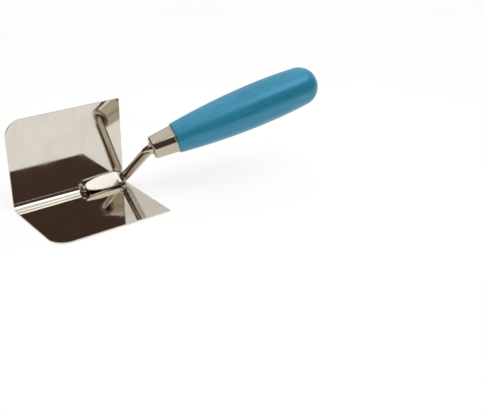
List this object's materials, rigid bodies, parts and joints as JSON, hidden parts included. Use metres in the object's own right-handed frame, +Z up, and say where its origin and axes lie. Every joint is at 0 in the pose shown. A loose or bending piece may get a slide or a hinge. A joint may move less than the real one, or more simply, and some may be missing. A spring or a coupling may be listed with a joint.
{
  "type": "inside corner trowel",
  "caption": "Plasterer's trowel for inside corners: a polished folded blade on a bent shank, with a plated ferrule and a blue lacquered wooden handle.",
  "frame": {"origin": "Where the two outer faces of the blade would meet in a sharp corner, at the middle of the blade's length.", "axes": "+X runs along the corner from the front edge of the blade to the handle, +Y is the outward normal of the standing leaf, +Z is up from the leaf that lies flat."},
  "size_m": [0.194, 0.0785, 0.0785],
  "materials": {
    "polished_steel": "mirror polished stainless sheet",
    "nickel_plate": "bright nickel plate over steel",
    "weld_metal": "bright weld bead, plated over",
    "blue_lacquer": "turned hardwood under pearl blue lacquer"
  },
  "bodies": {
    "root": {"blade": "polished_steel", "shank": "nickel_plate", "front_weld": "weld_metal", "rear_weld": "weld_metal", "ferrule": "nickel_plate", "handle": "blue_lacquer"}
  },
  "joints": []
}
